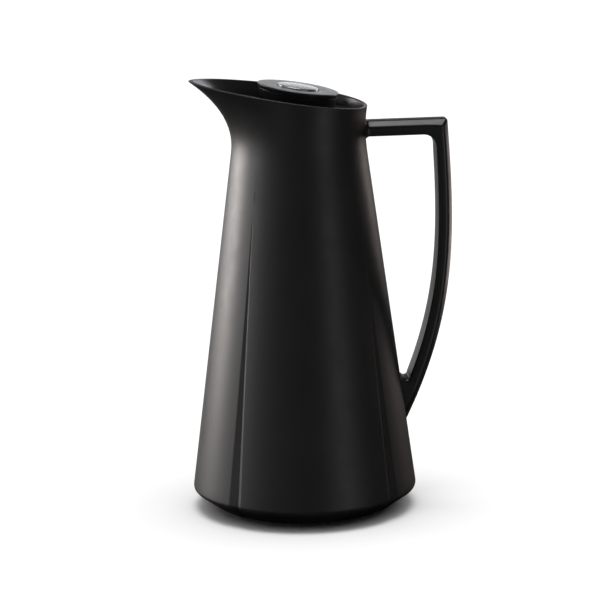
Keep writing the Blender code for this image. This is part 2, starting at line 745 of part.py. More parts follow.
def build_button(looks):
    """Button under its steel inlay, stem, valve head, seal and screw: they all move together."""
    top = TOP_Z + BUTTON_PROUD
    inlay_t, ceiling, boss, boss_low, flange = 1.2, 274.8, 4.6, 271.2, 15.1
    pocket_r, pocket_low = 4.2, 276.2
    pilot = STEM_R - 0.7
    outline = [
        (pilot, ceiling + 0.2),
        (pilot, pocket_low),
        (pocket_r, pocket_low),
        (pocket_r, top - inlay_t),
        (BUTTON_R, top - inlay_t),
        (BUTTON_R, TUBE_BOTTOM - GAP),
        (flange, TUBE_BOTTOM - GAP),
        (flange, TUBE_BOTTOM - 2.2),
        (BUTTON_R - 1.6, TUBE_BOTTOM - 2.2),
        (BUTTON_R - 1.6, ceiling),
        (boss, ceiling),
        (boss, boss_low),
        (STEM_R + GAP, boss_low),
        (STEM_R + GAP, ceiling + 0.2),
    ]
    add_object("push_button", tilted(turned_mesh(outline, 40), 276.3, 277.2), looks["lid"])

    low = top - inlay_t + GAP
    dome = [(0.0, low), (0.0, top + 0.7), (4.5, top + 0.6), (9.0, top + 0.35)]
    dome += [(BUTTON_R, top - 0.1), (BUTTON_R, low)]
    add_object("button_inlay", tilted(turned_mesh(dome, 40), 0.0, 1.0), looks["steel"])

    stem_top, stem_low = ceiling - 0.4, 225.6
    bore = 1.3
    stem = [(0.0, stem_low), (STEM_R - 0.4, stem_low), (STEM_R, stem_low + 0.4), (STEM_R, stem_top)]
    stem += [(bore, stem_top), (bore, stem_top - 7.0), (0.0, stem_top - 7.0)]
    turned("valve_stem", stem, looks["inner"], SMALL_ROUND)

    head_low, shank = pocket_low + 0.2, 1.0
    fixing = [(0.0, stem_top - 6.0), (shank, stem_top - 5.0), (shank, head_low), (3.4, head_low)]
    fixing += [(3.4, head_low + 0.5), (2.6, head_low + 1.1), (0.0, head_low + 1.2)]
    turned("stem_screw", fixing, looks["steel"], 16)

    disc, seat = 15.4, PLUG_BOTTOM - 2.4
    turned(
        "valve_disc",
        [
            (0.0, seat - 3.6),
            (5.2, seat - 3.6),
            (disc, seat - 1.2),
            (disc, seat),
            (12.4, seat),
            (12.4, seat + 0.9),
            (STEM_R + GAP, seat + 0.9),
            (STEM_R + GAP, stem_low - GAP),
            (0.0, stem_low - GAP),
        ],
        looks["inner"],
        32,
    )
    low, high = seat + GAP, PLUG_BOTTOM - GAP
    seal = [(12.7, low), (15.8, low), (15.8, low + 0.8), (14.8, high), (12.7, high)]
    turned("valve_seal", seal, looks["silicone"], 32)


def build_spring(looks):
    """Return spring of the button, standing on the partition round the guide's hub."""
    turns, per_turn, coil_r, wire = 4.5, 14, 8.2, 0.55
    low, high = GUIDE_TOP + GAP + wire, 274.8 - GAP - wire
    count = int(turns * per_turn)
    curve = bpy.data.curves.new("button_spring", "CURVE")
    curve.dimensions = "3D"
    curve.bevel_depth = wire * METRES
    curve.bevel_resolution = 1
    curve.use_fill_caps = True
    line = curve.splines.new("POLY")
    line.points.add(count)
    for k in range(count + 1):
        angle = 2 * math.pi * k / per_turn
        point = (coil_r * math.cos(angle), coil_r * math.sin(angle), low + (high - low) * k / count)
        line.points[k].co = (*(c * METRES for c in point), 1.0)
    spring = bpy.data.objects.new("button_spring", curve)
    curve.materials.append(looks["steel"])
    bpy.context.scene.collection.objects.link(spring)


# ---------------------------------------------------------------- the jug


def main():
    for old in list(bpy.data.objects):
        bpy.data.objects.remove(old)
    looks = materials()
    holes = helper("screw_holes", screw_holes(GAP))
    skin = helper("casing_skin", casing_skin(GAP))
    build_casing(looks["casing"], holes)
    build_handle(looks["casing"], skin, holes)
    for name, (point, direction, shank, head, length) in handle_screws().items():
        screw(name, point, direction, shank, head, length, looks["steel"])
    build_foot(looks)
    build_flask(looks)
    build_neck(looks)
    build_stopper_body(looks)
    build_stopper_fittings(looks)
    build_button(looks)
    build_spring(looks)


main()
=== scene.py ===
"""The looks of the insulated serving jug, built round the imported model.

Shapes below are given in millimetres and turned into metres in one place, add_piece. Angles are degrees
where a name ends in DEG. The frame is the model's: +Z up, handle towards +X, spout towards -X.
"""

import json
import math

import bmesh
import bpy
from mathutils import Matrix, Vector


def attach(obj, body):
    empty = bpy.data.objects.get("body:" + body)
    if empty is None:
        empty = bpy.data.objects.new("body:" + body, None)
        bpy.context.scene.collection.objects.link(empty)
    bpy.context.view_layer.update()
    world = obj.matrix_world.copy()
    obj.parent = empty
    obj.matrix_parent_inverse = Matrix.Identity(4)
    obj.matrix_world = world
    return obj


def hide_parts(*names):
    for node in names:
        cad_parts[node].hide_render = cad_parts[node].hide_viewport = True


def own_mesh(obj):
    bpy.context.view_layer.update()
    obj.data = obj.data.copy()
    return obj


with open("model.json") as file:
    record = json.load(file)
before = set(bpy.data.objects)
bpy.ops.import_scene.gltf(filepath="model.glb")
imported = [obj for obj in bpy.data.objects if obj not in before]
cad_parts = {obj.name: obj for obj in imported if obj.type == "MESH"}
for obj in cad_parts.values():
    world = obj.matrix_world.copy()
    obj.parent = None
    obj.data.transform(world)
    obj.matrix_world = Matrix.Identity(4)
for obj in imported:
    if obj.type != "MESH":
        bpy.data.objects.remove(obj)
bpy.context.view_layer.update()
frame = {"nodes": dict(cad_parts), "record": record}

METRES = 0.001
RECORD_SLOTS = {s["node"]: s["material_slot"] for s in frame["record"]["subparts"]}
NODE_BODY = {node: body for body, nodes in frame["record"]["behaviour"]["bodies"].items() for node in nodes}

# Casing
WIDE_R, WIDE_Z = 73.4, 15.3
TAPER = 0.132
CORNER_R, CHAMFER_DEG = 3.3, 35.0
FOOT_R, FOOT_BORE, FOOT_LIP_TOP = 59.8, 57.5, 9.3
NECK_START_Z, NECK_END_Z = 234.0, 254.0
WALL, LIP = 3.0, 2.2
SLOPE, RIM_Z = 0.16, 273.6
SPOUT_REACH, RIM_BACK, RIM_HALF, SPOUT_POINT = 71.2, 44.7, 44.5, 1.82
FLARE_Z, FLARE_POWER, FLARE_VARIES = 236.0, 3.2, 0.8
GROOVE_WIDTH, GROOVE_DEPTH, GROOVE_TOP = 9.6, 1.6, 212.0
GROOVE_LEAST, GROOVE_SKEW = 0.4, 0.4
SHELF_R, SHELF_TOP, SHELF_BOTTOM = 37.8, 261.0, 258.6
LUGS, LUG_DEG, LUG_R = 4, 16.0, 59.7

# Handle
ARM_BOTTOM, ARM_TOP = 246.0, 255.6
HANDLE_DEPTH, INNER_BEVEL, BEVEL_FROM, OUTER_WIDTH = 18.0, 1.0, 0.65, 9.0
BOW = ((97.1, 252.0), (101.9, 177.0), (102.4, 126.5), (68.2, 56.0))
BOW_T, BOW_SWELL = 9.1, 1.0

# Flask, throat and stopper
GAP = 0.3
THROAT_R, THROAT_BOTTOM, THROAT_WALL = 20.8, 228.5, 2.6
GLASS, FLASK_R, FLASK_MOUTH_R, FLASK_TOP, FLASK_BORE, VACUUM = 1.5, 52.0, 25.0, 225.4, 19.6, 3.5
TOP_Z, DISC_R, DISC_T, SIDE_TAPER = 278.8, 26.4, 2.6, 0.268
STOPPER_R, PLUG_R, PLUG_BOTTOM = 21.6, 19.8, 230.0
BUTTON_R, BUTTON_HOLE, BUTTON_PROUD = 13.2, 13.6, 0.8
STEM_R, SEAT_R = 2.5, 13.8
TUBE_BOTTOM, WET_TOP, GUIDE_TOP = 270.0, 259.5, 261.2
SPRING_LOW, SPRING_HIGH, SPRING_R, SPRING_WIRE, SPRING_TURNS = 262.05, 273.95, 8.2, 0.55, 4.5

# ---------------------------------------------------------------- camera and light

CAMERA_AZIMUTH, CAMERA_PITCH, CAMERA_ROLL, CAMERA_YAW = (math.radians(a) for a in (-6.5, 12.61, -1.0, 0.03))
CAMERA_REACH, CAMERA_HEIGHT, CAMERA_LENS = 2.0358, 0.5934, 191.1
CAMERA_CLIP = 0.05, 60


def set_tones():
    """Plain display tones, so that the white floor comes out white."""
    bpy.context.scene.view_settings.view_transform = "Standard"


def add_camera():
    place = Vector(
        (CAMERA_REACH * math.sin(CAMERA_AZIMUTH), -CAMERA_REACH * math.cos(CAMERA_AZIMUTH), CAMERA_HEIGHT)
    )
    heading = CAMERA_AZIMUTH + CAMERA_YAW
    level = Vector((-math.sin(heading), math.cos(heading), 0))
    forward = level * math.cos(CAMERA_PITCH) - Vector((0, 0, math.sin(CAMERA_PITCH)))
    right = Vector((level.y, -level.x, 0))
    up = right.cross(forward)
    c, s = math.cos(CAMERA_ROLL), math.sin(CAMERA_ROLL)
    columns = (right * c + up * s, up * c - right * s, -forward)
    turn = Matrix(columns).transposed()
    data = bpy.data.cameras.new("camera")
    data.lens = CAMERA_LENS
    data.clip_start, data.clip_end = CAMERA_CLIP
    camera = bpy.data.objects.new("camera", data)
    bpy.context.scene.collection.objects.link(camera)
    camera.matrix_world = Matrix.Translation(place) @ turn.to_4x4()
    bpy.context.scene.camera = camera


# Each softbox: degrees round the jug (0 behind it, 90 at its handle, -90 at its spout), height, width and
# height of its face, power, colour, and the group of pieces it lights
WARM, NEUTRAL, COOL, PINK = (1.0, 0.95, 0.92), (0.98, 0.98, 1.0), (0.92, 0.95, 1.0), (1.0, 0.86, 0.81)
ALL_BUT_FLOOR, HANDLE_ONLY, TOP_ONLY, INLAY_ONLY = "all_but_floor", "handle_only", "top_only", "inlay_only"
SOFTBOXES = {
    "key_left": (-60, 0.35, 0.66, 0.72, 23.0, WARM, ALL_BUT_FLOOR),
    "wrap_left": (-96, 0.35, 0.59, 0.72, 3.4, NEUTRAL, ALL_BUT_FLOOR),
    "wrap_front": (-120, 1.15, 0.59, 0.72, 4.0, NEUTRAL, ALL_BUT_FLOOR),
    "back_left": (-40, 0.35, 0.59, 0.72, 4.4, WARM, ALL_BUT_FLOOR),
    "back_low": (0, -0.25, 1.0, 0.35, 0.4, NEUTRAL, ALL_BUT_FLOOR),
    "edge_right": (56, 0.35, 0.50, 0.72, 4.0, PINK, ALL_BUT_FLOOR),
    "front_right": (143, -0.05, 0.5, 1.2, 2.2, NEUTRAL, ALL_BUT_FLOOR),
    "front_left": (-155, -0.5, 0.8, 0.5, 0.5, NEUTRAL, ALL_BUT_FLOOR),
    "bow_strip": (62, -0.22, 0.3, 0.3, 1.7, PINK, HANDLE_ONLY),
    "top_back": (8, 0.62, 0.45, 0.40, 0.5, COOL, TOP_ONLY),
    "top_tip": (25, 0.80, 0.45, 0.60, 1.7, COOL, TOP_ONLY),
    "inlay_back": (8, 0.66, 0.9, 0.55, 0.75, NEUTRAL, INLAY_ONLY),
}
SOFTBOX_DISTANCE, SOFTBOX_AIM = 1.7, 0.15
# Overhead light as (energy, angle): one for everything, and a wide one that softens the foot's shadow
SKY, FLOOR_SKY = (1.75, math.radians(40)), (2.02, math.radians(110))


def light_group(name, pieces, state):
    """Collection that names the pieces a lamp lights, or the ones it leaves out."""
    group = bpy.data.collections.new(name)
    for piece in pieces:
        group.objects.link(bpy.data.objects[piece])
    for entry in group.collection_objects:
        entry.light_linking.link_state = state
    return group


def add_lights():
    """Softboxes light the jug, or a few of its pieces, and leave the white floor to the overhead lights."""
    top = ["casing_shell_fine", "stopper_top_fine", "push_button_fine"]
    groups = {
        ALL_BUT_FLOOR: light_group(ALL_BUT_FLOOR, ["floor"], "EXCLUDE"),
        HANDLE_ONLY: light_group(HANDLE_ONLY, ["handle_fine"], "INCLUDE"),
        TOP_ONLY: light_group(TOP_ONLY, top, "INCLUDE"),
        INLAY_ONLY: light_group(INLAY_ONLY, ["button_inlay_fine"], "INCLUDE"),
    }
    no_floor_shadow = light_group("no_floor_shadow", ["floor"], "EXCLUDE")
    for name, (azimuth_deg, height, wide, tall, power, colour, pieces) in SOFTBOXES.items():
        data = bpy.data.lights.new(name, "AREA")
        data.shape = "RECTANGLE"
        data.size, data.size_y = wide, tall
        data.energy, data.color = power, colour
        lamp = bpy.data.objects.new(name, data)
        bpy.context.scene.collection.objects.link(lamp)
        azimuth = math.radians(azimuth_deg)
        lamp.location = (SOFTBOX_DISTANCE * math.sin(azimuth), SOFTBOX_DISTANCE * math.cos(azimuth), height)
        heading = Vector((0, 0, SOFTBOX_AIM)) - lamp.location
        lamp.rotation_euler = heading.to_track_quat("-Z", "Y").to_euler()
        lamp.visible_camera = False
        lamp.light_linking.receiver_collection = groups[pieces]
        lamp.light_linking.blocker_collection = no_floor_shadow
    floor_only = light_group("floor_only", ["floor"], "INCLUDE")
    for name, (energy, angle), group in (("overhead", SKY, None), ("overhead_wide", FLOOR_SKY, floor_only)):
        sky = bpy.data.lights.new(name, "SUN")
        sky.energy, sky.angle = energy, angle
        lamp = bpy.data.objects.new(name, sky)
        bpy.context.scene.collection.objects.link(lamp)
        lamp.light_linking.receiver_collection = group


GLOW_TOWARDS = (-0.7, 0.7, 0.0)  # behind the jug, on the spout's side
GLOW_SPREAD = {"From Min": -0.4, "From Max": 0.6, "To Min": 0.1, "To Max": 1.0}
# (height, shade), where 0 is straight down, 0.5 the horizon and 1 straight up
GLOW_BAND = ((0.44, 0.0), (0.475, 0.96), (0.53, 0.96), (0.60, 0.05))


def add_world():
    """A pale band at the horizon, brightest behind the jug on the left; dim overhead and dark below."""
    world = bpy.data.worlds.new("studio")
    bpy.context.scene.world = world
    world.use_nodes = True
    nodes, links = world.node_tree.nodes, world.node_tree.links
    place = nodes.new("ShaderNodeTexCoord").outputs["Generated"]
    side = nodes.new("ShaderNodeVectorMath")
    side.operation = "DOT_PRODUCT"
    side.inputs[1].default_value = GLOW_TOWARDS
    links.new(place, side.inputs[0])
    spread = nodes.new("ShaderNodeMapRange")
    spread.interpolation_type = "SMOOTHSTEP"
    for key, value in GLOW_SPREAD.items():
        spread.inputs[key].default_value = value
    links.new(side.outputs["Value"], spread.inputs["Value"])
    parts = nodes.new("ShaderNodeSeparateXYZ")
    links.new(place, parts.inputs[0])
    height = nodes.new("ShaderNodeMapRange")
    height.inputs["From Min"].default_value = -1.0
    links.new(parts.outputs["Z"], height.inputs["Value"])
    band = nodes.new("ShaderNodeValToRGB")
    band.color_ramp.interpolation = "EASE"
    for place_in_ramp, shade in GLOW_BAND:
        band.color_ramp.elements.new(place_in_ramp).color = (shade, shade, shade, 1)
    top_shade = GLOW_BAND[-1][1]
    band.color_ramp.elements[0].color = (0, 0, 0, 1)
    band.color_ramp.elements[-1].color = (top_shade, top_shade, top_shade, 1)
    links.new(height.outputs["Result"], band.inputs["Fac"])
    links.new(band.outputs["Color"], nodes["Background"].inputs["Color"])
    links.new(spread.outputs["Result"], nodes["Background"].inputs["Strength"])


def add_floor():
    """Wide matt white floor, left out of the jug's reflections. Its size is in metres."""
    half, shade = 30.0, 0.93
    bm = bmesh.new()
    corners = [bm.verts.new((x * half, y * half, 0)) for x, y in ((-1, -1), (1, -1), (1, 1), (-1, 1))]
    bm.faces.new(corners)
    mesh = bpy.data.meshes.new("floor")
    bm.to_mesh(mesh)
    bm.free()
    floor = bpy.data.objects.new("floor", mesh)
    bpy.context.scene.collection.objects.link(floor)
    paint = bpy.data.materials.new("floor_paint")
    paint.use_nodes = True
    shader = paint.node_tree.nodes["Principled BSDF"]
    shader.inputs["Base Color"].default_value = (shade, shade, shade, 1)
    shader.inputs["Roughness"].default_value = 0.9
    shader.inputs["Specular IOR Level"].default_value = 0.1
    floor.data.materials.append(paint)
    floor.visible_glossy = False


# ---------------------------------------------------------------- materials


NOISE_LOW, NOISE_HIGH = 0.3, 0.7  # nearly all of a noise lies between these


class Look:
    """A Principled material whose colour, roughness and relief come from noise in the piece's own space."""

    def __init__(self, name):
        self.material = bpy.data.materials.new(name)
        self.material.use_nodes = True
        self.nodes, self.links = self.material.node_tree.nodes, self.material.node_tree.links
        self.shader = self.nodes["Principled BSDF"]
        self.place = self.nodes.new("ShaderNodeTexCoord").outputs["Object"]

    def set(self, **values):
        for key, value in values.items():
            self.shader.inputs[key.replace("_", " ")].default_value = value
        return self

    def noise(self, size, detail):
        """Noise whose grains are about this many millimetres across."""
        made = self.nodes.new("ShaderNodeTexNoise")
        made.inputs["Scale"].default_value = 1 / (size * METRES)
        made.inputs["Detail"].default_value = detail
        self.links.new(self.place, made.inputs["Vector"])
        return made.outputs["Fac"]

    def rings(self, size, detail):
        """Fine rings round the Z axis, as a lathe or a polishing wheel leaves them."""
        flat = self.nodes.new("ShaderNodeVectorMath")
        flat.operation = "MULTIPLY"
        flat.inputs[1].default_value = (1, 1, 0)
        self.links.new(self.place, flat.inputs[0])
        radius = self.nodes.new("ShaderNodeVectorMath")
        radius.operation = "LENGTH"
        self.links.new(flat.outputs["Vector"], radius.inputs[0])
        made = self.nodes.new("ShaderNodeTexNoise")
        made.noise_dimensions = "1D"
        made.inputs["Scale"].default_value = 1 / (size * METRES)
        made.inputs["Detail"].default_value = detail
        self.links.new(radius.outputs["Value"], made.inputs["W"])
        return made.outputs["Fac"]

    def colours(self, source, dark, light):
        ramp = self.nodes.new("ShaderNodeValToRGB")
        for stop, position, colour in zip(ramp.color_ramp.elements, (NOISE_LOW, NOISE_HIGH), (dark, light)):
            stop.position, stop.color = position, (*colour, 1)
        self.links.new(source, ramp.inputs["Fac"])
        self.links.new(ramp.outputs["Color"], self.shader.inputs["Base Color"])
        return self

    def roughness(self, source, low, high):
        spread = self.nodes.new("ShaderNodeMapRange")
        limits = {"From Min": NOISE_LOW, "From Max": NOISE_HIGH, "To Min": low, "To Max": high}
        for key, value in limits.items():
            spread.inputs[key].default_value = value
        self.links.new(source, spread.inputs["Value"])
        self.links.new(spread.outputs["Result"], self.shader.inputs["Roughness"])
        return self

    def relief(self, source, height, strength):
        """Bump of about this many millimetres."""
        bump = self.nodes.new("ShaderNodeBump")
        bump.inputs["Distance"].default_value = height * METRES
        bump.inputs["Strength"].default_value = strength
        self.links.new(source, bump.inputs["Height"])
        self.links.new(bump.outputs["Normal"], self.shader.inputs["Normal"])
        return self


def grained_look(name, patches, colours, gloss, roughness, grain, relief, **values):
    """Patches of colour, patches of gloss and a grain, each a noise of (size in millimetres, detail)."""
    look = Look(name).set(**values)
    look.colours(look.noise(*patches), *colours)
    look.roughness(look.noise(*gloss), *roughness)
    look.relief(look.noise(*grain), *relief)
    return look.material


def steel_look():
    """Steel with the fine rings of a polishing wheel."""
    wheel = (0.16, 4.0)
    look = Look("polished_steel").set(Metallic=1.0)
    look.colours(look.noise(6, 3), (0.62, 0.63, 0.65), (0.72, 0.73, 0.75))
    look.roughness(look.rings(*wheel), 0.16, 0.30)
    look.relief(look.rings(*wheel), 0.002, 0.5)
    return look.material


BLACK = ((0.0062, 0.0059, 0.0060), (0.0080, 0.0076, 0.0076))
# Casing's inside: the same black as the outside, painted lighter to stand in for light on its inner walls
BLACK_INSIDE_PAINTED_LIGHTER = ((0.0170, 0.0165, 0.0170), (0.0210, 0.0203, 0.0206))
BLACK_LID = ((0.010, 0.010, 0.011), (0.013, 0.013, 0.014))
BLACK_FITTINGS = ((0.019, 0.019, 0.021), (0.026, 0.026, 0.028))
BLACK_RUBBER = ((0.016, 0.016, 0.016), (0.028, 0.028, 0.027))
SILVER = ((0.74, 0.76, 0.79), (0.82, 0.84, 0.86))
GREY = ((0.40, 0.40, 0.39), (0.48, 0.48, 0.47))
GLASSY = {"Metallic": 0.9, "IOR": 1.52}
WAXY = {"Subsurface_Weight": 0.15, "Subsurface_Scale": 0.002}

LOOKS = {
    "casing_plastic": grained_look(
        "satin_black_plastic", (38, 2), BLACK, (9, 4), (0.40, 0.46), (0.35, 2), (0.004, 0.35)
    ),
    "inner_plastic": grained_look(
        "moulded_inner_plastic", (18, 3), BLACK_FITTINGS, (4, 4), (0.40, 0.52), (0.4, 3), (0.006, 0.5)
    ),
    "lid_plastic": grained_look(
        "fine_grained_plastic", (14, 3), BLACK_LID, (5, 4), (0.27, 0.34), (0.3, 2), (0.005, 0.5)
    ),
    "polished_steel": steel_look(),
    "silvered_glass": grained_look(
        "silvered_glass", (30, 3), SILVER, (12, 3), (0.05, 0.11), (45, 1), (0.05, 0.3), **GLASSY
    ),
    "black_rubber": grained_look(
        "black_rubber", (3, 5), BLACK_RUBBER, (1.5, 5), (0.70, 0.88), (0.5, 4), (0.03, 0.6)
    ),
    "grey_silicone": grained_look(
        "grey_silicone", (6, 3), GREY, (2, 4), (0.50, 0.64), (0.6, 3), (0.01, 0.4), **WAXY
    ),
}
# Two finishes that only part of the casing plastic has; the inside one is also painted lighter than the
# outside, a painted brightening of the casing's inner walls
HANDLE_LOOK = grained_look(
    "glossier_black_plastic", (30, 2), BLACK, (8, 4), (0.29, 0.35), (4, 2), (0.004, 0.3)
)
INSIDE_LOOK_PAINTED_LIGHTER = grained_look(
    "smooth_black_plastic", (24, 2), BLACK_INSIDE_PAINTED_LIGHTER, (7, 4), (0.28, 0.34), (0.35, 2), (0.002, 0.3)
)

# ---------------------------------------------------------------- building blocks


def add_piece(node, bm, sharp_deg=35.0, looks=None):
    """A finished piece that stands for a CAD node: its body and its material slot are the node's."""
    bmesh.ops.recalc_face_normals(bm, faces=bm.faces[:])
    mesh = bpy.data.meshes.new(node + "_fine")
    bm.to_mesh(mesh)
    bm.free()
    mesh.transform(Matrix.Scale(METRES, 4))
    mesh.shade_smooth()
    mesh.set_sharp_from_angle(angle=math.radians(sharp_deg))
    piece = bpy.data.objects.new(node + "_fine", mesh)
    bpy.context.scene.collection.objects.link(piece)
    for look in looks or [LOOKS[RECORD_SLOTS[node]]]:
        mesh.materials.append(look)
    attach(piece, NODE_BODY[node])
    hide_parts(node)
    return piece


def rounded(outline, fillet=0.3, steps=4, closed=False):
    """An outline of (x, y) or (x, y, own fillet) with its corners rounded. Points on the axis stay sharp."""
    made = []
    for k, point in enumerate(outline):
        here = Vector(point[:2])
        size = point[2] if len(point) == 3 else fillet
        end = not closed and k in (0, len(outline) - 1)
        if end or here.x == 0 or size == 0:
            made.append(tuple(here))
            continue
        back = Vector(outline[k - 1][:2]) - here
        ahead = Vector(outline[(k + 1) % len(outline)][:2]) - here
        half_turn = (math.pi - back.angle(ahead)) / 2
        reach = min(size * math.tan(half_turn), back.length * 0.45, ahead.length * 0.45)
        start, stop = here + back.normalized() * reach, here + ahead.normalized() * reach
        for j in range(steps + 1):
            t = j / steps
            made.append(tuple(start * (1 - t) ** 2 + here * 2 * t * (1 - t) + stop * t**2))
    return made


def turned_mesh(outline, segments):
    """A closed outline of (radius, z) turned round the Z axis; points at radius 0 become single vertices."""
    bm = bmesh.new()
    rings = []
    for r, z in outline:
        count = segments if r > 0 else 1
        turns = [2 * math.pi * k / segments for k in range(count)]
        rings.append([bm.verts.new((r * math.cos(a), r * math.sin(a), z)) for a in turns])
    pairs = list(zip(rings, rings[1:]))
    if len(rings[0]) > 1 or len(rings[-1]) > 1:
        pairs.append((rings[-1], rings[0]))
    for low, high in pairs:
        for k in range(segments if len(low) + len(high) > 2 else 0):
            nxt = (k + 1) % segments
            corners = [low[k % len(low)], low[nxt % len(low)], high[nxt % len(high)], high[k % len(high)]]
            bm.faces.new(list(dict.fromkeys(corners)))
    return bm


def turned(node, outline, fillet=0.25, segments=96):
    return add_piece(node, turned_mesh(rounded(outline, fillet, closed=True), segments))


def tilted(bm, flat_below, full_above):
    """Shears a mesh along the rim's slope: not at all below one height, fully above the other."""
    for v in bm.verts:
        share = (v.co.z - flat_below) / (full_above - flat_below)
        v.co.z -= SLOPE * v.co.x * min(1.0, max(0.0, share))
    return bm


def loft(rings, close):
    """Skin over rings of equal length, closed or capped. Returns the mesh and its bands of faces."""
    bm = bmesh.new()
    grid = [[bm.verts.new(p) for p in ring] for ring in rings]
    pairs = list(zip(grid, grid[1:])) + ([(grid[-1], grid[0])] if close else [])
    bands = []
    for low, high in pairs:
        following = [(k + 1) % len(low) for k in range(len(low))]
        bands.append([bm.faces.new((low[k], low[n], high[n], high[k])) for k, n in enumerate(following)])
    if not close:
        bm.faces.new(grid[0][::-1])
        bm.faces.new(grid[-1])
    return bm, bands


def cylinder_between(bm, start, end, radius, segments=32):
    start, end = Vector(start), Vector(end)
    turn = (end - start).to_track_quat("Z", "Y").to_matrix().to_4x4()
    place = Matrix.Translation((start + end) / 2) @ turn
    size = {"radius1": radius, "radius2": radius, "depth": (end - start).length}
    bmesh.ops.create_cone(bm, cap_ends=True, segments=segments, matrix=place, **size)


def lug_boxes(r_low, r_high, z_low, z_high, degrees, offset_degrees):
    """Four curved blocks between two radii and two heights."""
    steps = 8
    bm = bmesh.new()
    for k in range(LUGS):
        middle = math.radians(offset_degrees + 360 / LUGS * k)
        turns = [middle + math.radians(degrees) * (j / steps - 0.5) for j in range(steps + 1)]
        arcs = [
            [bm.verts.new((r * math.cos(a), r * math.sin(a), z)) for a in turns]
            for r, z in ((r_low, z_low), (r_high, z_low), (r_high, z_high), (r_low, z_high))
        ]
        for i, arc in enumerate(arcs):
            other = arcs[(i + 1) % 4]
            for j in range(steps):
                bm.faces.new((arc[j], arc[j + 1], other[j + 1], other[j]))
        bm.faces.new([arc[0] for arc in arcs])
        bm.faces.new([arc[-1] for arc in arcs])
    return bm


def combine(piece, bm, operation):
    """Cuts a mesh out of a piece, or joins it on, and keeps the result as the piece's own mesh."""
    bmesh.ops.recalc_face_normals(bm, faces=bm.faces[:])
    mesh = bpy.data.meshes.new("cutter")
    bm.to_mesh(mesh)
    bm.free()
    mesh.transform(Matrix.Scale(METRES, 4))
    cutter = bpy.data.objects.new("cutter", mesh)
    bpy.context.scene.collection.objects.link(cutter)
    modifier = piece.modifiers.new("combine", "BOOLEAN")
    modifier.operation, modifier.object = operation, cutter
    graph = bpy.context.evaluated_depsgraph_get()
    result = bpy.data.meshes.new_from_object(piece.evaluated_get(graph))
    piece.modifiers.remove(modifier)
    piece.data = result
    bpy.data.objects.remove(cutter)


# ---------------------------------------------------------------- casing surface


def rim_radius(angle):
    """Plan radius of the rim: round behind, a pointed superellipse towards the spout."""
    c, s = abs(math.cos(angle)), abs(math.sin(angle))
    if math.cos(angle) < 0:
        n = SPOUT_POINT
        return ((c / SPOUT_REACH) ** n + (s / RIM_HALF) ** n) ** (-1 / n)
    return ((c / RIM_BACK) ** 2 + (s / RIM_HALF) ** 2) ** -0.5


def rim_height(angle):
    return RIM_Z - SLOPE * rim_radius(angle) * math.cos(angle)


def body_radius(z):
    """Round casing radius: straight taper that levels off at the neck."""
    straight = WIDE_R - TAPER * (min(z, NECK_START_Z) - WIDE_Z)
    past = min(max(z - NECK_START_Z, 0.0), NECK_END_Z - NECK_START_Z)
    return straight - TAPER * (past - past * past / (2 * (NECK_END_Z - NECK_START_Z)))


def casing_radius(angle, z):
    """Casing radius at this height, with the flare that opens into the rim and the spout."""
    top = rim_height(angle)
    rise = min(max((z - FLARE_Z) / (top - FLARE_Z), 0.0), 1.0)
    power = FLARE_POWER + FLARE_VARIES * math.cos(angle)
    return body_radius(z) + (rim_radius(angle) - body_radius(top)) * rise**power


def casing_inner_radius(angle, z):
    """Inside of the wall, which thins towards the lip. The wall is measured square to the surface."""
    step, thin_over = 0.5, 6.0
    lean = (casing_radius(angle, z) - casing_radius(angle, z - step)) / step
    wall = LIP + (WALL - LIP) * min((rim_height(angle) - z) / thin_over, 1.0)
    return casing_radius(angle, z) - wall * math.sqrt(1 + lean * lean)


def groove_share(z):
    return min(max((GROOVE_TOP - z) / (GROOVE_TOP - WIDE_Z), 0.0), 1.0)


def groove_section(z, side):
    """(distance across, depth) over one groove: a steep flank on one side, a gentle one opposite."""
    half = max(GROOVE_WIDTH * groove_share(z), GROOVE_LEAST) / 2
    depth, margin = GROOVE_DEPTH * groove_share(z), 1.2
    steep, gentle, floor = 0.9, 3.0, 0.8
    line = [(half + margin, 0.0), (half, 0.0, steep), (half * GROOVE_SKEW, depth, floor)]
    line += [(-half, 0.0, gentle), (-half - margin, 0.0)]
    shift = 100.0  # moves it off x = 0, where rounded() leaves corners alone
    moved = rounded([(p[0] + shift, *p[1:]) for p in line], steps=5)
    section = [(side * (x - shift), d) for x, d in moved]
    return section if side < 0 else section[::-1]


def columns(z):
    """(angle, groove depth) of each column at this height."""
    per_panel = 44
    made = []
    for panel in range(4):
        centre = math.pi / 4 + panel * math.pi / 2
        section = groove_section(z, (-1) ** panel)
        made += [(centre + across / WIDE_R, depth) for across, depth in section]
        start = made[-1][0]
        following = groove_section(z, (-1) ** (panel + 1))
        stop = centre + math.pi / 2 + following[0][0] / WIDE_R
        made += [(start + (stop - start) * k / (per_panel + 1), 0.0) for k in range(1, per_panel + 1)]
    return made


def ring(radius_at, height_at, z=GROOVE_TOP, grooved=False):
    points = []
    for angle, depth in columns(z):
        r = radius_at(angle) - (depth if grooved else 0.0)
        points.append((r * math.cos(angle), r * math.sin(angle), height_at(angle)))
    return points


def level_ring(radius, z, grooved=False):
    return ring(lambda angle: radius, lambda angle: z, z, grooved)


def risen(angle, share, start_z, drop):
    """Height a share of the way from start_z to a drop below the rim."""
    return start_z + share * (rim_height(angle) - drop - start_z)


def lip_ring(t, radius, side, drop, inward):
    """Ring t of the way round the lip's edge: up the wall to the rim, then level towards its middle."""

    def point(angle):
        top = rim_height(angle)
        wall, corner = (radius(angle, top - drop), top - drop), (radius(angle, top), top)
        level = (corner[0] + side * inward, top)
        return [wall[i] * (1 - t) ** 2 + corner[i] * 2 * t * (1 - t) + level[i] * t * t for i in (0, 1)]

    return ring(lambda angle: point(angle)[0], lambda angle: point(angle)[1])


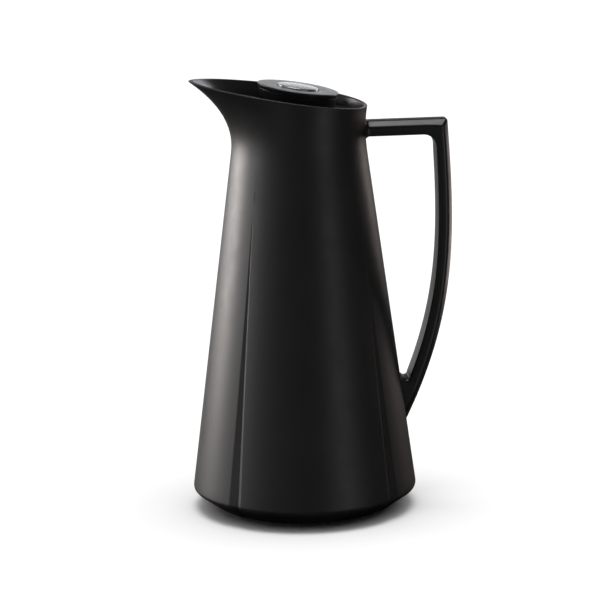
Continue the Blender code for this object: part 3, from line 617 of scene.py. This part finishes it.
def foot_corner(steps):
    """(radius, z) points of the rounding between chamfer and side, from the chamfer up."""
    lean = math.atan(TAPER)
    centre = (WIDE_R - CORNER_R * math.cos(lean), WIDE_Z - CORNER_R * math.sin(lean))
    low = -math.radians(90 - CHAMFER_DEG)
    turns = [low + (lean - low) * k / steps for k in range(steps + 1)]
    return [(centre[0] + CORNER_R * math.cos(a), centre[1] + CORNER_R * math.sin(a)) for a in turns]


def foot_edge_z():
    r, z = foot_corner(1)[0]
    return z - (r - FOOT_R) * math.tan(math.radians(CHAMFER_DEG))


ABOVE_GROOVES_Z = (218.0, 224.0, 229.0)
INSIDE_Z = (SHELF_BOTTOM, 250.0, 242.0, NECK_START_Z, 120.0, WIDE_Z + 1.0)


def casing_rings():
    """Rings up the outside, over the lip and down the inside, and how many of them make the outside."""
    edge_z, corner = foot_edge_z(), foot_corner(10)
    drop, inward, lip_steps = 0.6, 0.6, 5
    foot = rounded([(FOOT_BORE, FOOT_LIP_TOP), (FOOT_BORE, edge_z, 0.3), (FOOT_R, edge_z, 0.5), corner[0]])
    rings = [level_ring(r, z, grooved=r > FOOT_BORE + 1) for r, z in foot[1:-1] + corner]
    side_steps, flare_steps, well_steps = 30, 34, 22
    for k in range(1, side_steps + 1):
        z = WIDE_Z + (GROOVE_TOP - WIDE_Z) * k / side_steps
        rings.append(level_ring(body_radius(z), z, grooved=True))
    rings += [level_ring(body_radius(z), z) for z in ABOVE_GROOVES_Z]
    for k in range(flare_steps):
        share = k / flare_steps

        def height(angle, share=share):
            return risen(angle, share, NECK_START_Z, drop)

        rings.append(ring(lambda angle: casing_radius(angle, height(angle)), height))
    round_lip = [k / lip_steps for k in range(lip_steps + 1)]
    rings += [lip_ring(t, casing_radius, -1, drop, inward) for t in round_lip]
    outside = len(rings)
    rings += [lip_ring(1 - t, casing_inner_radius, 1, drop, inward) for t in round_lip]
    shelf_round, shelf_mid, shelf_edge = 0.8, 0.25, 0.3
    for k in range(1, well_steps + 1):
        share = 1 - k / well_steps

        def height(angle, share=share):
            return risen(angle, share, SHELF_TOP + shelf_round, drop)

        rings.append(ring(lambda angle: casing_inner_radius(angle, height(angle)), height))

    def shelf_corner(angle):
        return casing_inner_radius(angle, SHELF_TOP + shelf_round) - shelf_mid

    rings.append(ring(shelf_corner, lambda a: SHELF_TOP + shelf_mid))
    rings.append(ring(lambda a: casing_inner_radius(a, SHELF_TOP) - shelf_round, lambda a: SHELF_TOP))
    inside = [(SHELF_R + shelf_edge, SHELF_TOP), (SHELF_R, SHELF_TOP - shelf_edge), (SHELF_R, SHELF_BOTTOM)]
    inside += [(body_radius(z) - WALL, z) for z in INSIDE_Z]
    slant = WALL / math.cos(math.radians(CHAMFER_DEG))
    chamfer_inside_r = FOOT_R + (FOOT_LIP_TOP - slant - edge_z) / math.tan(math.radians(CHAMFER_DEG))
    inside += [(chamfer_inside_r, FOOT_LIP_TOP), (FOOT_BORE, FOOT_LIP_TOP)]
    return rings + [level_ring(r, z) for r, z in inside], outside


def handle_screws():
    """Each: (point on the casing's inside wall, direction outwards, shank radius, head radius, length)."""
    lean = math.atan(TAPER)
    arm_z, arm_y, root_z = (ARM_BOTTOM + ARM_TOP) / 2, 4.6, 73.0
    arm_x = math.sqrt((body_radius(arm_z) - WALL) ** 2 - arm_y**2)
    root_x = body_radius(root_z) - WALL
    return {
        "handle_screw_left": ((arm_x, arm_y, arm_z), (1, 0, 0), 1.5, 2.7, 14.0),
        "handle_screw_right": ((arm_x, -arm_y, arm_z), (1, 0, 0), 1.5, 2.7, 14.0),
        "handle_screw_lower": ((root_x, 0.0, root_z), (math.cos(lean), 0, math.sin(lean)), 2.0, 3.8, 10.0),
    }


def screw_holes():
    """Cylinders that cut the screws' holes, with a clearance round each shank."""
    before, past = 2, 1
    bm = bmesh.new()
    for point, direction, shank, _, length in handle_screws().values():
        start, along = Vector(point), Vector(direction)
        cylinder_between(bm, start - along * before, start + along * (length + past), shank + GAP)
    return bm


def build_casing():
    """Casing with its smoother inside, whose colour is painted lighter to stand in for light on it, the
    notches for the cover's lugs, and the screws' holes.
    """
    rings, outside = casing_rings()
    bm, bands = loft(rings, close=True)
    for band in bands[outside:]:
        for face in band:
            face.material_index = 1
    # The inner faces get the lighter copy of the plastic: painted light on the inside walls
    casing = add_piece("casing_shell", bm, 40, [LOOKS["casing_plastic"], INSIDE_LOOK_PAINTED_LIGHTER])
    notches = lug_boxes(FOOT_BORE - 2, LUG_R + 0.5, 1.0, FOOT_LIP_TOP + 2, LUG_DEG + 3, 0.0)
    combine(casing, notches, "DIFFERENCE")
    combine(casing, screw_holes(), "DIFFERENCE")


# ---------------------------------------------------------------- handle


def bow_point(t):
    a, b, c, d = (Vector(p) for p in BOW)
    return a * (1 - t) ** 3 + b * 3 * t * (1 - t) ** 2 + c * 3 * t * t * (1 - t) + d * t**3


def bow_inner(t):
    along = (bow_point(t + 0.01) - bow_point(t - 0.01)).normalized()
    inward = Vector((along.y, -along.x))
    return bow_point(t) + inward * (BOW_T + BOW_SWELL * t)


ROOT_FILLET, ROOT_X = 2.4, 42.9  # fillet where the arm meets the casing, and where the fillet starts
ARM_START_X, ARM_PLAIN_X = 39.0, range(48, 84, 4)


def arm_stations():
    """(inner point, outer point, flare) along the arm, which flares into the casing on a fillet."""
    steps = 8
    stations = [((ARM_START_X, ARM_BOTTOM), (ARM_START_X, ARM_TOP), ROOT_FILLET)]
    for k in range(steps + 1):
        turn = math.pi / 2 * k / steps
        x, grow = ROOT_X + ROOT_FILLET * (1 - math.cos(turn)), ROOT_FILLET * (1 - math.sin(turn))
        stations.append(((x, ARM_BOTTOM), (x, ARM_TOP), grow))
    return stations + [((x, ARM_BOTTOM), (x, ARM_TOP), 0.0) for x in ARM_PLAIN_X]


def corner_stations():
    """The inner edge rounds the corner on an arc while the outer edge turns on a tight one."""
    radius, join_t, tight = 8.4, 0.075, 1.6
    lead, steps, trail = 6, 8, 5  # stations before, round and after the outer edge's turn
    end = bow_inner(join_t)
    centre = (end.x - radius, ARM_BOTTOM - radius)
    start_x, tip = centre[0] + 2.5, BOW[0][0] - 0.1
    before = [(start_x + (tip - tight - start_x) * k / lead, ARM_TOP) for k in range(lead)]
    turn = [math.pi / 2 * k / steps for k in range(steps + 1)]
    round_tip = [(tip - tight + tight * math.sin(a), ARM_TOP - tight + tight * math.cos(a)) for a in turn]
    last = bow_point(join_t)
    after = [Vector(round_tip[-1]).lerp(last, k / trail) for k in range(1, trail + 1)]
    outer = before + round_tip + [tuple(p) for p in after]
    spread = math.radians(4)  # the stations round the tip fan out a little at the inner edge too
    inner_turn = [math.pi / 4 * k / lead for k in range(lead)]
    inner_turn += [math.pi / 4 + spread * (k / steps - 0.5) for k in range(steps + 1)]
    inner_turn += [math.pi / 4 * (1 + k / trail) for k in range(1, trail + 1)]
    inner = [(centre[0] + radius * math.sin(a), centre[1] + radius * math.cos(a)) for a in inner_turn]
    return [(i, o, 0.0) for i, o in zip(inner, outer)]


def bow_stations():
    steps, start, stop = 56, 0.09, 0.862
    shares = [start + (stop - start) * k / steps for k in range(steps + 1)]
    return [(tuple(bow_inner(t)), tuple(bow_point(t)), 0.0) for t in shares]


BURIED_INNER, BURIED_OUTER = (58.0, 80.0), (63.5, 46.5)  # the handle's end, which the casing trims off


def root_stations():
    """Below the gap the inner edge rounds the gap's end, then both edges run into the casing."""
    radius, steps, start = 2.4, 12, 0.873
    edge = bow_inner(start)
    centre = (edge.x - radius, edge.y)
    turn = [-math.radians(150) * k / steps for k in range(steps + 1)]
    inner = [(centre[0] + radius * math.cos(a), centre[1] + radius * math.sin(a)) for a in turn]
    outer = [tuple(bow_point(start + (1 - start) * k / steps)) for k in range(steps + 1)]
    inner.append(BURIED_INNER)
    outer.append(BURIED_OUTER)
    return [(i, o, 0.0) for i, o in zip(inner, outer)]


def section(inner, outer, grow):
    """Section from the inner edge to the outer one: small bevels inside, wide ones outside, soft creases."""
    inner, outer = Vector(inner), Vector(outer)
    across, half = outer - inner, HANDLE_DEPTH / 2
    offset = 50.0  # moves it off x = 0, where rounded() leaves corners alone
    length = across.length
    corners = (
        (0.0, half - INNER_BEVEL, 1.2),
        (INNER_BEVEL, half, 1.2),
        (BEVEL_FROM * length, half, 3.2),
        (length, OUTER_WIDTH / 2, 2.0),
    )
    mirrored = tuple((s, -y, fillet) for s, y, fillet in reversed(corners))
    outline = rounded([(s + offset, y, fillet) for s, y, fillet in corners + mirrored], closed=True)
    radius = ROOT_X + 0.5  # the flared root wraps round the neck at this radius
    points = []
    for shifted, y in outline:
        s = shifted - offset
        stretch = grow * (2 * s / length - 1)
        p = inner + across.normalized() * (s + stretch)
        wide_y = y * (1 + grow / half)
        hug = grow / ROOT_FILLET * (radius - math.sqrt(radius**2 - wide_y**2))
        points.append((p.x - hug, wide_y, p.y))
    return points


SKIN_Z = (30.0, 60.0, 110.0, 160.0, 200.0, 226.0, NECK_START_Z)
SKIN_FLARE_Z = (239.0, 243.0, 247.0, 251.0, 255.0, 258.0, 261.0)


def casing_skin(grow):
    """Solid with the casing's outside surface, grown or shrunk, which trims the handle's ends."""
    count = 96
    turns = [2 * math.pi * k / count for k in range(count)]
    rings = []
    for z in SKIN_Z + SKIN_FLARE_Z:
        radii = [casing_radius(a, z) + grow for a in turns]
        rings.append([(r * math.cos(a), r * math.sin(a), z) for r, a in zip(radii, turns)])
    return loft(rings, close=False)[0]


def build_handle():
    embed = 0.7  # how far the handle's ends sink into the casing, so that no seam shows
    stations = arm_stations() + corner_stations() + bow_stations() + root_stations()
    handle = add_piece("handle", loft([section(*s) for s in stations], close=False)[0], 50, [HANDLE_LOOK])
    combine(handle, casing_skin(-embed), "DIFFERENCE")
    combine(handle, screw_holes(), "DIFFERENCE")


# ---------------------------------------------------------------- foot


def cut_grips(piece, top_z):
    """Two round dimples underneath, to turn the base cover by."""
    grip_r, grip_at, below = 9.0, 29.0, -2
    for side in (-1, 1):
        grip, y = bmesh.new(), side * grip_at
        cylinder_between(grip, (0, y, below), (0, y, top_z), grip_r, 64)
        combine(piece, grip, "DIFFERENCE")


def build_foot():
    """Bayonet base cover, its seal, the cushion under the flask and the non-slip pad."""
    pad_r, pad_t = 50.0, 2.6
    rim, floor, top, bottom = FOOT_BORE - 0.4, 6.0, 12.0, 1.5
    seal_z, seal_half = 6.2, 1.1
    outline = [(0.0, pad_t + GAP), (pad_r + GAP, pad_t + GAP), (pad_r + GAP, bottom), (rim - 3.0, bottom)]
    outline += [(rim, foot_edge_z() + 0.2), (rim, seal_z - seal_half - GAP)]
    outline += [(rim - 1.9, seal_z - seal_half - GAP), (rim - 1.9, seal_z + seal_half + GAP)]
    outline += [(rim, seal_z + seal_half + GAP), (rim, top), (rim - 3.5, top), (rim - 3.5, floor)]
    outline += [(37.0, floor), (37.0, floor + 2.5), (36.5, floor + 2.5), (36.5, floor), (0.0, floor)]
    cover = turned("base_cover", outline, 0.3, 160)
    combine(cover, lug_boxes(rim - 1.5, LUG_R, FOOT_LIP_TOP + GAP, top, LUG_DEG, 45.0), "UNION")
    cut_grips(cover, floor - 2.4)

    outline = [(0, 0), (pad_r, 0, 0.8), (pad_r, pad_t, 0.3), (0, pad_t)]
    pad = turned("foot_pad", outline, segments=160)
    cut_grips(pad, pad_t + 2)

    outer = rim + 0.1
    ring_outline = [(rim - 1.6, seal_z - seal_half), (outer, seal_z - seal_half), (outer, seal_z + seal_half)]
    turned("base_seal", ring_outline + [(rim - 1.6, seal_z + seal_half)], 0.7, 160)

    cushion = [(20.0, floor + GAP, 1.0), (36.0, floor + GAP, 1.0), (36.0, flask_outer(36.0) - GAP, 1.0)]
    cushion += [(r, flask_outer(r) - GAP) for r in (30.0, 25.0, 20.0)]
    turned("flask_cushion", cushion, 0.5, 96)


# ---------------------------------------------------------------- glass flask

FLASK_BASE = ((8.0, 16.8), (20.0, 17.6), (30.0, 19.4), (38.0, 23.0), (46.0, 29.5), (50.6, 38.0))
FLASK_SIDE = ((FLASK_R, 48.0), (FLASK_R, 138.0))
FLASK_SHOULDER = ((51.0, 155.0), (47.2, 172.0), (40.5, 188.0), (32.5, 201.0), (27.2, 209.5), (25.2, 216.0))


def flask_outer(radius):
    """Height of the flask's dished base at a radius."""
    for (r0, z0), (r1, z1) in zip(FLASK_BASE, FLASK_BASE[1:]):
        if radius <= r1:
            return z0 + (z1 - z0) * (radius - r0) / (r1 - r0)
    return FLASK_SIDE[0][1]


def inset(outline, distance):
    """Moves an outline of (radius, z), given from the bottom up, square to itself towards the axis."""
    moved = []
    for k, (r, z) in enumerate(outline):
        before, after = outline[max(k - 1, 0)], outline[min(k + 1, len(outline) - 1)]
        along = Vector((after[0] - before[0], after[1] - before[1])).normalized()
        moved.append((r - along.y * distance, z + along.x * distance))
    return moved


def build_flask():
    """Double-walled glass, blown, so every bend is a generous curve."""
    bend, segments = 40.0, 128
    walls = list(FLASK_BASE + FLASK_SIDE + FLASK_SHOULDER)
    lip_z = FLASK_TOP - GLASS
    outer_skin = walls + [(FLASK_MOUTH_R, lip_z - GAP)]
    outer_inside = inset(outer_skin, GLASS)[:-1] + [(FLASK_MOUTH_R - GLASS, lip_z - GAP)]
    # where the pump-down tube was sealed off
    tip = [(0.0, 10.6), (1.6, 11.2, 0.5), (2.6, 14.0, 3.0), (4.0, 16.0, 2.0)]
    outline = tip + [(r, z, bend) for r, z in outer_skin[:-1]]
    outline += [(*outer_skin[-1], 0.5), (*outer_inside[-1], 0.5)]
    outline += [(r, z, bend) for r, z in outer_inside[-2::-1]] + [(0.0, FLASK_BASE[0][1] + GLASS)]
    turned("flask_outer_glass", outline, segments=segments)

    inner_skin, inner_inside = inset(walls, VACUUM + GLASS), inset(walls, VACUUM + 2 * GLASS)
    neck_r, neck_z = FLASK_BORE + GLASS, 190
    inner_skin = [(max(r, neck_r), z) if z > neck_z else (r, z) for r, z in inner_skin]
    inner_inside = [(max(r, FLASK_BORE), z) if z > neck_z else (r, z) for r, z in inner_inside]
    outline = [(0.0, inner_skin[0][1])] + [(r, z, bend) for r, z in inner_skin]
    outline += [(neck_r, lip_z, 1.0), (FLASK_MOUTH_R, lip_z, 0.5), (FLASK_MOUTH_R, FLASK_TOP, 0.6)]
    outline += [(FLASK_BORE, FLASK_TOP, 1.0)]
    outline += [(r, z, bend) for r, z in inner_inside[::-1]] + [(0.0, inner_inside[0][1])]
    turned("flask_inner_glass", outline, segments=segments)


# ---------------------------------------------------------------- neck


def build_neck():
    """Funnel insert that hangs under the casing's shelf, its seal, and the gasket on the flask's mouth."""
    collar, flange_r, flange_top, flange_t = SHELF_R - GAP, 40.0, 257.0, 2.4
    outer = THROAT_R + THROAT_WALL
    outline = [(collar, flange_top), (collar, SHELF_TOP, 0.4), (collar - 2.0, SHELF_TOP, 1.2)]
    outline += [(25.0, 252.4, 6.0), (22.6, 250.6, 4.0), (THROAT_R, 248.8, 4.0)]
    outline += [(THROAT_R, THROAT_BOTTOM, 0.4), (outer, THROAT_BOTTOM, 0.4), (outer, 247.6, 4.0)]
    outline += [(25.6, 250.0, 4.0), (collar - 2.4, flange_top - flange_t, 1.5)]
    outline += [(flange_r, flange_top - flange_t), (flange_r, flange_top)]
    turned("funnel_insert", outline, 0.3, 128)
    low, high = flange_top + GAP, SHELF_BOTTOM - GAP
    inner_r, outer_r = collar + 0.6, flange_r - 0.2
    turned("funnel_seal", [(inner_r, low), (outer_r, low), (outer_r, high), (inner_r, high)], 0.3)
    seat, skirt, bore = FLASK_TOP + GAP, FLASK_MOUTH_R + 0.4, FLASK_BORE + 0.4
    outline = [(bore, seat), (skirt, seat, 0.2), (skirt, seat - 6.5), (skirt + 1.8, seat - 6.5)]
    outline += [(skirt + 1.8, THROAT_BOTTOM + 1.8, 0.8), (outer + 0.4, THROAT_BOTTOM + 1.8)]
    outline += [(outer + 0.4, THROAT_BOTTOM - GAP, 0.2), (bore, THROAT_BOTTOM - GAP)]
    turned("flask_gasket", outline, 0.4)


# ---------------------------------------------------------------- stopper


def stopper_wall(depth):
    """Outside radius at a depth below the sloping top."""
    return max(DISC_R - SIDE_TAPER * depth, STOPPER_R)


def build_stopper_body():
    """Stopper's body, which narrows to the plug, with the groove for its seal and six pouring ports."""
    wall, top = 1.8, TOP_Z - DISC_T - GAP
    straight = TOP_Z - (DISC_R - STOPPER_R) / SIDE_TAPER
    shoulder, groove_low, groove_high, bore, groove_r = 250.9, 236.5, 243.5, 17.0, 18.4
    outline = [(stopper_wall(DISC_T + GAP), top), (STOPPER_R, straight, 6.0), (STOPPER_R, shoulder, 0.5)]
    outline += [(PLUG_R, shoulder - 1.5, 0.8), (PLUG_R, groove_high), (groove_r, groove_high)]
    outline += [(groove_r, groove_low), (PLUG_R, groove_low), (PLUG_R, PLUG_BOTTOM, 0.9)]
    outline += [(SEAT_R, PLUG_BOTTOM), (SEAT_R, PLUG_BOTTOM + 1.8), (bore, PLUG_BOTTOM + 3.4)]
    outline += [(bore, shoulder), (STOPPER_R - 2.0, shoulder + 2.0), (STOPPER_R - 2.0, WET_TOP - 1.1)]
    outline += [(STOPPER_R - 3.4, WET_TOP - 0.8, 0.1), (STOPPER_R - 3.4, WET_TOP - GAP, 0.1)]
    outline += [(STOPPER_R - 2.0, WET_TOP - GAP), (STOPPER_R - 2.0, straight)]
    outline += [(stopper_wall(DISC_T + GAP) - wall, top)]
    bm = tilted(turned_mesh(rounded(outline, 0.2, closed=True), 128), 262.0, 272.0)
    body = add_piece("stopper_body", bm)
    ports, count = bmesh.new(), 6
    for k in range(count):
        bar = bmesh.ops.create_cube(ports, size=1.0)["verts"]
        bmesh.ops.scale(ports, vec=(8.0, 13.0, 4.6), verts=bar)
        edges = {e for v in bar for e in v.link_edges if abs(e.verts[0].co.x - e.verts[1].co.x) > 1}
        rounding = bmesh.ops.bevel(ports, geom=list(edges), offset=1.6, segments=4, affect="EDGES")
        solid = list({v for f in rounding["faces"] for v in f.verts})
        bmesh.ops.translate(ports, vec=(STOPPER_R, 0, 255.6), verts=solid)
        turn = Matrix.Rotation(2 * math.pi / count * k, 3, "Z")
        bmesh.ops.rotate(ports, cent=(0, 0, 0), matrix=turn, verts=solid)
    combine(body, ports, "DIFFERENCE")


def build_stopper_fittings():
    """Sloping top plate with the button's guide tube, the partition, and the seals that go with them."""
    under, snap, tube_r = TOP_Z - DISC_T, TOP_Z - 5.8, BUTTON_HOLE + 1.4
    plate = [(BUTTON_HOLE, TOP_Z, 0.3), (DISC_R, TOP_Z, 0.7), (stopper_wall(DISC_T), under, 0.3)]
    plate += [(23.3, under), (22.5, snap), (21.1, snap), (21.9, under), (tube_r, under)]
    plate += [(tube_r, TUBE_BOTTOM), (BUTTON_HOLE, TUBE_BOTTOM)]
    outline = rounded(plate, 0.2, steps=5, closed=True)
    add_piece("stopper_top", tilted(turned_mesh(outline, 160), TUBE_BOTTOM, 272.5))

    hub, hub_low, hub_top, pocket, rim = 5.2, 255.0, 266.0, 4.5, STOPPER_R - 2.3
    outline = [(STEM_R + 0.4, 258.2), (pocket, 258.2), (pocket, hub_low), (hub + 1.0, hub_low)]
    outline += [(hub + 1.0, WET_TOP), (rim, WET_TOP), (rim, GUIDE_TOP), (hub, GUIDE_TOP), (hub, hub_top)]
    turned("stem_guide", outline + [(STEM_R + 0.4, hub_top)], 0.25, 96)
    ring_r, ring_z, turns = 3.5, 256.7, [k * math.pi / 12 for k in range(24)]
    seal = [(ring_r + 0.7 * math.cos(a), ring_z + 1.1 * math.sin(a)) for a in turns]
    turned("stem_seal", seal, 0.0, 64)

    low, high, inner_r, valley, crest = 236.8, 243.2, 18.7, 19.8, 20.5
    lips = [(inner_r, low), (valley, low)]
    for k in range(3):
        z = low + 0.9 + 2.1 * k
        lips += [(crest, z, 0.25), (valley, z + 1.0, 0.4)]
    turned("stopper_seal", lips + [(valley, high), (inner_r, high)], 0.15, 128)


def build_button():
    """Button under its steel inlay, stem, valve head, seal and screw: they all move together."""
    top, inlay_t = TOP_Z + BUTTON_PROUD, 1.2
    ceiling, boss, boss_low, flange = 274.8, 4.6, 271.2, 15.1
    pocket_r, pocket_low, pilot = 4.2, 276.2, STEM_R - 0.7
    outline = [(pilot, ceiling + 0.2), (pilot, pocket_low), (pocket_r, pocket_low), (pocket_r, top - inlay_t)]
    outline += [(BUTTON_R, top - inlay_t, 0.15)]
    outline += [(BUTTON_R, TUBE_BOTTOM - GAP), (flange, TUBE_BOTTOM - GAP), (flange, TUBE_BOTTOM - 2.2)]
    outline += [(BUTTON_R - 1.6, TUBE_BOTTOM - 2.2), (BUTTON_R - 1.6, ceiling, 0.8), (boss, ceiling, 0.8)]
    outline += [(boss, boss_low), (STEM_R + GAP, boss_low), (STEM_R + GAP, ceiling + 0.2)]
    bm = turned_mesh(rounded(outline, 0.15, closed=True), 128)
    add_piece("push_button", tilted(bm, 276.3, 277.2))

    edge, low, bulge, steps = BUTTON_R, top - inlay_t + GAP, 0.7, 14
    dome = [(0.0, low), (edge, low, 0.1), (edge, top - 0.1, 0.4)]
    inwards = [1 - k / steps for k in range(1, steps + 1)]
    dome += [(edge * share, top + bulge * (1 - share**2)) for share in inwards]
    outline = rounded(dome, 0.0, closed=True)
    add_piece("button_inlay", tilted(turned_mesh(outline, 128), 0.0, 1.0))

    stem_top, stem_low, bore = ceiling - 0.4, 225.6, 1.3
    stem = [(0.0, stem_low), (STEM_R, stem_low, 0.4), (STEM_R, stem_top), (bore, stem_top)]
    turned("valve_stem", stem + [(bore, stem_top - 7.0), (0.0, stem_top - 7.0)], 0.2, 64)
    head_low, shank = pocket_low + 0.2, 1.0
    fixing = [(0.0, stem_top - 6.0), (shank, stem_top - 5.0), (shank, head_low), (3.4, head_low)]
    fixing += [(3.4, head_low + 0.5), (2.6, head_low + 1.1, 0.8), (0.0, head_low + 1.2)]
    turned("stem_screw", fixing, 0.15, 48)

    disc, seat = 15.4, PLUG_BOTTOM - 2.4
    outline = [(0.0, seat - 3.6), (5.2, seat - 3.6, 2.0), (disc, seat - 1.2, 0.5), (disc, seat), (12.4, seat)]
    outline += [(12.4, seat + 0.9), (STEM_R + GAP, seat + 0.9), (STEM_R + GAP, stem_low - GAP)]
    outline += [(0.0, stem_low - GAP)]
    turned("valve_disc", outline, 0.2, 96)
    low, high = seat + GAP, PLUG_BOTTOM - GAP
    seal = [(12.7, low), (15.8, low, 0.3), (15.8, low + 0.8, 0.6), (14.8, high, 0.6), (12.7, high)]
    turned("valve_seal", seal, 0.2, 96)


def build_spring():
    """Return spring: round wire, with a closed, flattened turn at each end."""
    per_turn, sides, closed_turns = 48, 12, 0.6
    count = int(SPRING_TURNS * per_turn)
    rings = []
    for k in range(count + 1):
        turn = k / per_turn
        rise = min(max((turn - closed_turns) / (SPRING_TURNS - 2 * closed_turns), 0.0), 1.0)
        z = SPRING_LOW + (SPRING_HIGH - SPRING_LOW) * rise
        angle = 2 * math.pi * turn
        out, up = Vector((math.cos(angle), math.sin(angle), 0)), Vector((0, 0, 1))
        middle = out * SPRING_R + up * z
        turns = [2 * math.pi * j / sides for j in range(sides)]
        rings.append([tuple(middle + (out * math.cos(a) + up * math.sin(a)) * SPRING_WIRE) for a in turns])
    spring = add_piece("button_spring", loft(rings, close=False)[0])
    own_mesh(spring)


def screws_and_spacers():
    """Small hidden pieces keep their CAD shape and get their finish."""
    for node in frame["nodes"].values():
        if node.hide_render:
            continue
        node.data.materials.clear()
        node.data.materials.append(LOOKS[RECORD_SLOTS[node.name]])


# ---------------------------------------------------------------- the jug

set_tones()
add_camera()
add_world()
add_floor()
build_casing()
build_handle()
build_foot()
build_flask()
build_neck()
build_stopper_body()
build_stopper_fittings()
build_button()
build_spring()
screws_and_spacers()
add_lights()
